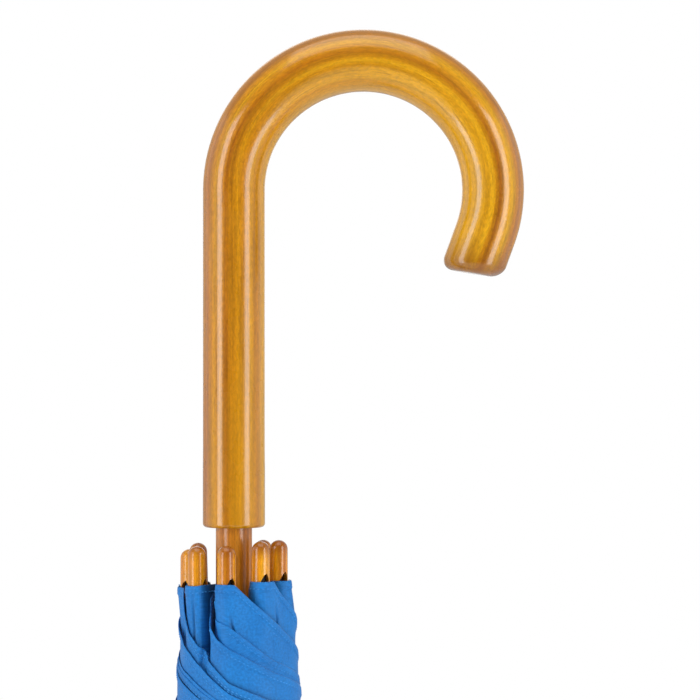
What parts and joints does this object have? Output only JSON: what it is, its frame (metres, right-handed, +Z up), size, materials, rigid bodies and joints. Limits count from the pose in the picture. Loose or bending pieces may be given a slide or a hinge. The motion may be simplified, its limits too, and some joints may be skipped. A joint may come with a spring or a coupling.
{
  "type": "stick umbrella",
  "caption": "Long stick umbrella, closed and rolled, with a wooden crook handle, round wooden shaft, fluted ribs with turned tips and a sliding runner that opens the canopy.",
  "frame": {"origin": "centre of the ferrule's flat end face, on the shaft's axis", "axes": "+Z up the shaft towards the handle; the crook bends towards +X, and rib 1 is near -Y"},
  "size_m": [0.1367, 0.0512, 0.88],
  "materials": {
    "handle_wood": "clear gloss varnish over straight-grained honey-brown wood",
    "shaft_wood": "satin varnish",
    "tip_wood": "turned wood under orange-amber gloss lacquer",
    "canopy_cloth": "plain-weave polyester, bright mid blue, slight sheen",
    "nickel": "polished nickel plate",
    "frame_steel": "rolled steel under black lacquer",
    "wire": "drawn wire",
    "black_plastic": "moulded nylon"
  },
  "bodies": {
    "root": {"handle": "handle_wood", "shaft": "shaft_wood", "ferrule": "nickel", "canopy_cap": "nickel", "canopy_rosette": "canopy_cloth", "crown": "black_plastic", "crown_wire": "wire", "crown_pin": "wire", "catch_pins": "wire", "runner_stop_pin": "wire"},
    "runner": {"runner": "black_plastic"},
    "lower_catch": {"lower_catch": "nickel"},
    "upper_catch": {"upper_catch": "nickel"},
    "rib_1": {"rib_1": "frame_steel", "rib_tip_1": "tip_wood", "rib_rivet_1": "nickel", "strap": "canopy_cloth", "strap_snap": "nickel"},
    "stretcher_1": {"stretcher_1": "frame_steel"},
    "gore_1": {"canopy_gore_1": "canopy_cloth"},
    "rib_2": {"rib_2": "frame_steel", "rib_tip_2": "tip_wood", "rib_rivet_2": "nickel"},
    "stretcher_2": {"stretcher_2": "frame_steel"},
    "gore_2": {"canopy_gore_2": "canopy_cloth"},
    "rib_3": {"rib_3": "frame_steel", "rib_tip_3": "tip_wood", "rib_rivet_3": "nickel"},
    "stretcher_3": {"stretcher_3": "frame_steel"},
    "gore_3": {"canopy_gore_3": "canopy_cloth"},
    "rib_4": {"rib_4": "frame_steel", "rib_tip_4": "tip_wood", "rib_rivet_4": "nickel"},
    "stretcher_4": {"stretcher_4": "frame_steel"},
    "gore_4": {"canopy_gore_4": "canopy_cloth"},
    "rib_5": {"rib_5": "frame_steel", "rib_tip_5": "tip_wood", "rib_rivet_5": "nickel"},
    "stretcher_5": {"stretcher_5": "frame_steel"},
    "gore_5": {"canopy_gore_5": "canopy_cloth"},
    "rib_6": {"rib_6": "frame_steel", "rib_tip_6": "tip_wood", "rib_rivet_6": "nickel"},
    "stretcher_6": {"stretcher_6": "frame_steel"},
    "gore_6": {"canopy_gore_6": "canopy_cloth"},
    "rib_7": {"rib_7": "frame_steel", "rib_tip_7": "tip_wood", "rib_rivet_7": "nickel"},
    "stretcher_7": {"stretcher_7": "frame_steel"},
    "gore_7": {"canopy_gore_7": "canopy_cloth"},
    "rib_8": {"rib_8": "frame_steel", "rib_tip_8": "tip_wood", "rib_rivet_8": "nickel"},
    "stretcher_8": {"stretcher_8": "frame_steel"},
    "gore_8": {"canopy_gore_8": "canopy_cloth"}
  },
  "joints": [
    {"name": "runner_slide", "type": "slide", "parent": "root", "child": "runner", "axis": [0, 0, -1], "range_m": [0, 0.32098], "deforming": ["strap"]},
    {"name": "rib_1_hinge", "type": "hinge", "parent": "root", "child": "rib_1", "pos_m": [-0.00122, -0.00993, 0.084], "axis": [0.9925, -0.1219, 0], "range_deg": [0, 68]},
    {"name": "stretcher_1_hinge", "type": "hinge", "parent": "rib_1", "child": "stretcher_1", "pos_m": [-0.00127, -0.01033, 0.34001], "axis": [0.9925, -0.1219, 0], "range_deg": [-136, 0]},
    {"name": "gore_1_fold", "type": "hinge", "parent": "rib_1", "child": "gore_1", "pos_m": [-0.00927, 0.03342, 0.05565], "axis": [-0.2268, 0.8178, -0.5289], "range_deg": [0, 49.43]},
    {"name": "rib_2_hinge", "type": "hinge", "parent": "root", "child": "rib_2", "pos_m": [0.00616, -0.00788, 0.084], "axis": [0.788, 0.6157, 0], "range_deg": [0, 68]},
    {"name": "stretcher_2_hinge", "type": "hinge", "parent": "rib_2", "child": "stretcher_2", "pos_m": [0.00641, -0.0082, 0.34001], "axis": [0.788, 0.6157, 0], "range_deg": [-136, 0]},
    {"name": "gore_2_fold", "type": "hinge", "parent": "rib_2", "child": "gore_2", "pos_m": [-0.03018, 0.01708, 0.05565], "axis": [-0.7387, 0.4179, -0.5289], "range_deg": [0, 49.43]},
    {"name": "rib_3_hinge", "type": "hinge", "parent": "root", "child": "rib_3", "pos_m": [0.00993, -0.00122, 0.084], "axis": [0.1219, 0.9925, 0], "range_deg": [0, 68]},
    {"name": "stretcher_3_hinge", "type": "hinge", "parent": "rib_3", "child": "stretcher_3", "pos_m": [0.01033, -0.00127, 0.34001], "axis": [0.1219, 0.9925, 0], "range_deg": [-136, 0]},
    {"name": "gore_3_fold", "type": "hinge", "parent": "rib_3", "child": "gore_3", "pos_m": [-0.03342, -0.00927, 0.05565], "axis": [-0.8178, -0.2268, -0.5289], "range_deg": [0, 49.43]},
    {"name": "rib_4_hinge", "type": "hinge", "parent": "root", "child": "rib_4", "pos_m": [0.00788, 0.00616, 0.084], "axis": [-0.6157, 0.788, 0], "range_deg": [0, 68]},
    {"name": "stretcher_4_hinge", "type": "hinge", "parent": "rib_4", "child": "stretcher_4", "pos_m": [0.00694, 0.00803, 0.34001], "axis": [-0.6157, 0.788, 0], "range_deg": [-136, 0]},
    {"name": "gore_4_fold", "type": "hinge", "parent": "rib_4", "child": "gore_4", "pos_m": [-0.01708, -0.03018, 0.05565], "axis": [-0.4179, -0.7387, -0.5289], "range_deg": [0, 49.43]},
    {"name": "rib_5_hinge", "type": "hinge", "parent": "root", "child": "rib_5", "pos_m": [0.00122, 0.00993, 0.084], "axis": [-0.9925, 0.1219, 0], "range_deg": [0, 68]},
    {"name": "stretcher_5_hinge", "type": "hinge", "parent": "rib_5", "child": "stretcher_5", "pos_m": [0.00127, 0.01033, 0.34001], "axis": [-0.9925, 0.1219, 0], "range_deg": [-136, 0]},
    {"name": "gore_5_fold", "type": "hinge", "parent": "rib_5", "child": "gore_5", "pos_m": [0.00927, -0.03342, 0.05565], "axis": [0.2268, -0.8178, -0.5289], "range_deg": [0, 49.43]},
    {"name": "rib_6_hinge", "type": "hinge", "parent": "root", "child": "rib_6", "pos_m": [-0.00616, 0.00788, 0.084], "axis": [-0.788, -0.6157, 0], "range_deg": [0, 68]},
    {"name": "stretcher_6_hinge", "type": "hinge", "parent": "rib_6", "child": "stretcher_6", "pos_m": [-0.00796, 0.00699, 0.34001], "axis": [-0.788, -0.6157, 0], "range_deg": [-136, 0]},
    {"name": "gore_6_fold", "type": "hinge", "parent": "rib_6", "child": "gore_6", "pos_m": [0.03018, -0.01708, 0.05565], "axis": [0.7387, -0.4179, -0.5289], "range_deg": [0, 49.43]},
    {"name": "rib_7_hinge", "type": "hinge", "parent": "root", "child": "rib_7", "pos_m": [-0.00993, 0.00122, 0.084], "axis": [-0.1219, -0.9925, 0], "range_deg": [0, 68]},
    {"name": "stretcher_7_hinge", "type": "hinge", "parent": "rib_7", "child": "stretcher_7", "pos_m": [-0.01033, 0.00127, 0.34001], "axis": [-0.1219, -0.9925, 0], "range_deg": [-136, 0]},
    {"name": "gore_7_fold", "type": "hinge", "parent": "rib_7", "child": "gore_7", "pos_m": [0.03342, 0.00927, 0.05565], "axis": [0.8178, 0.2268, -0.5289], "range_deg": [0, 49.43]},
    {"name": "rib_8_hinge", "type": "hinge", "parent": "root", "child": "rib_8", "pos_m": [-0.00788, -0.00616, 0.084], "axis": [0.6157, -0.788, 0], "range_deg": [0, 68]},
    {"name": "stretcher_8_hinge", "type": "hinge", "parent": "rib_8", "child": "stretcher_8", "pos_m": [-0.0082, -0.00641, 0.34001], "axis": [0.6157, -0.788, 0], "range_deg": [-136, 0]},
    {"name": "gore_8_fold", "type": "hinge", "parent": "rib_8", "child": "gore_8", "pos_m": [0.01708, 0.03018, 0.05565], "axis": [0.4179, 0.7387, -0.5289], "range_deg": [0, 49.43]},
    {"name": "lower_catch_press", "type": "hinge", "parent": "root", "child": "lower_catch", "pos_m": [0.00142, -0.0032, 0.61403], "axis": [0.9135, 0.4067, 0], "range_deg": [-3, 0], "stiffness_Nm_per_rad": 0.5},
    {"name": "upper_catch_press", "type": "hinge", "parent": "root", "child": "upper_catch", "pos_m": [0.00142, -0.0032, 0.35955], "axis": [0.9135, 0.4067, 0], "range_deg": [0, 3], "stiffness_Nm_per_rad": 0.5}
  ],
  "couplings": [
    {"joint": "rib_1_hinge", "follows": "runner_slide", "rad_per_m": 3.6975},
    {"joint": "stretcher_1_hinge", "follows": "runner_slide", "rad_per_m": -7.395},
    {"joint": "gore_1_fold", "follows": "runner_slide", "rad_per_m": 2.6875},
    {"joint": "rib_2_hinge", "follows": "runner_slide", "rad_per_m": 3.6975},
    {"joint": "stretcher_2_hinge", "follows": "runner_slide", "rad_per_m": -7.395},
    {"joint": "gore_2_fold", "follows": "runner_slide", "rad_per_m": 2.6875},
    {"joint": "rib_3_hinge", "follows": "runner_slide", "rad_per_m": 3.6975},
    {"joint": "stretcher_3_hinge", "follows": "runner_slide", "rad_per_m": -7.395},
    {"joint": "gore_3_fold", "follows": "runner_slide", "rad_per_m": 2.6875},
    {"joint": "rib_4_hinge", "follows": "runner_slide", "rad_per_m": 3.6975},
    {"joint": "stretcher_4_hinge", "follows": "runner_slide", "rad_per_m": -7.395},
    {"joint": "gore_4_fold", "follows": "runner_slide", "rad_per_m": 2.6875},
    {"joint": "rib_5_hinge", "follows": "runner_slide", "rad_per_m": 3.6975},
    {"joint": "stretcher_5_hinge", "follows": "runner_slide", "rad_per_m": -7.395},
    {"joint": "gore_5_fold", "follows": "runner_slide", "rad_per_m": 2.6875},
    {"joint": "rib_6_hinge", "follows": "runner_slide", "rad_per_m": 3.6975},
    {"joint": "stretcher_6_hinge", "follows": "runner_slide", "rad_per_m": -7.395},
    {"joint": "gore_6_fold", "follows": "runner_slide", "rad_per_m": 2.6875},
    {"joint": "rib_7_hinge", "follows": "runner_slide", "rad_per_m": 3.6975},
    {"joint": "stretcher_7_hinge", "follows": "runner_slide", "rad_per_m": -7.395},
    {"joint": "gore_7_fold", "follows": "runner_slide", "rad_per_m": 2.6875},
    {"joint": "rib_8_hinge", "follows": "runner_slide", "rad_per_m": 3.6975},
    {"joint": "stretcher_8_hinge", "follows": "runner_slide", "rad_per_m": -7.395},
    {"joint": "gore_8_fold", "follows": "runner_slide", "rad_per_m": 2.6875}
  ]
}
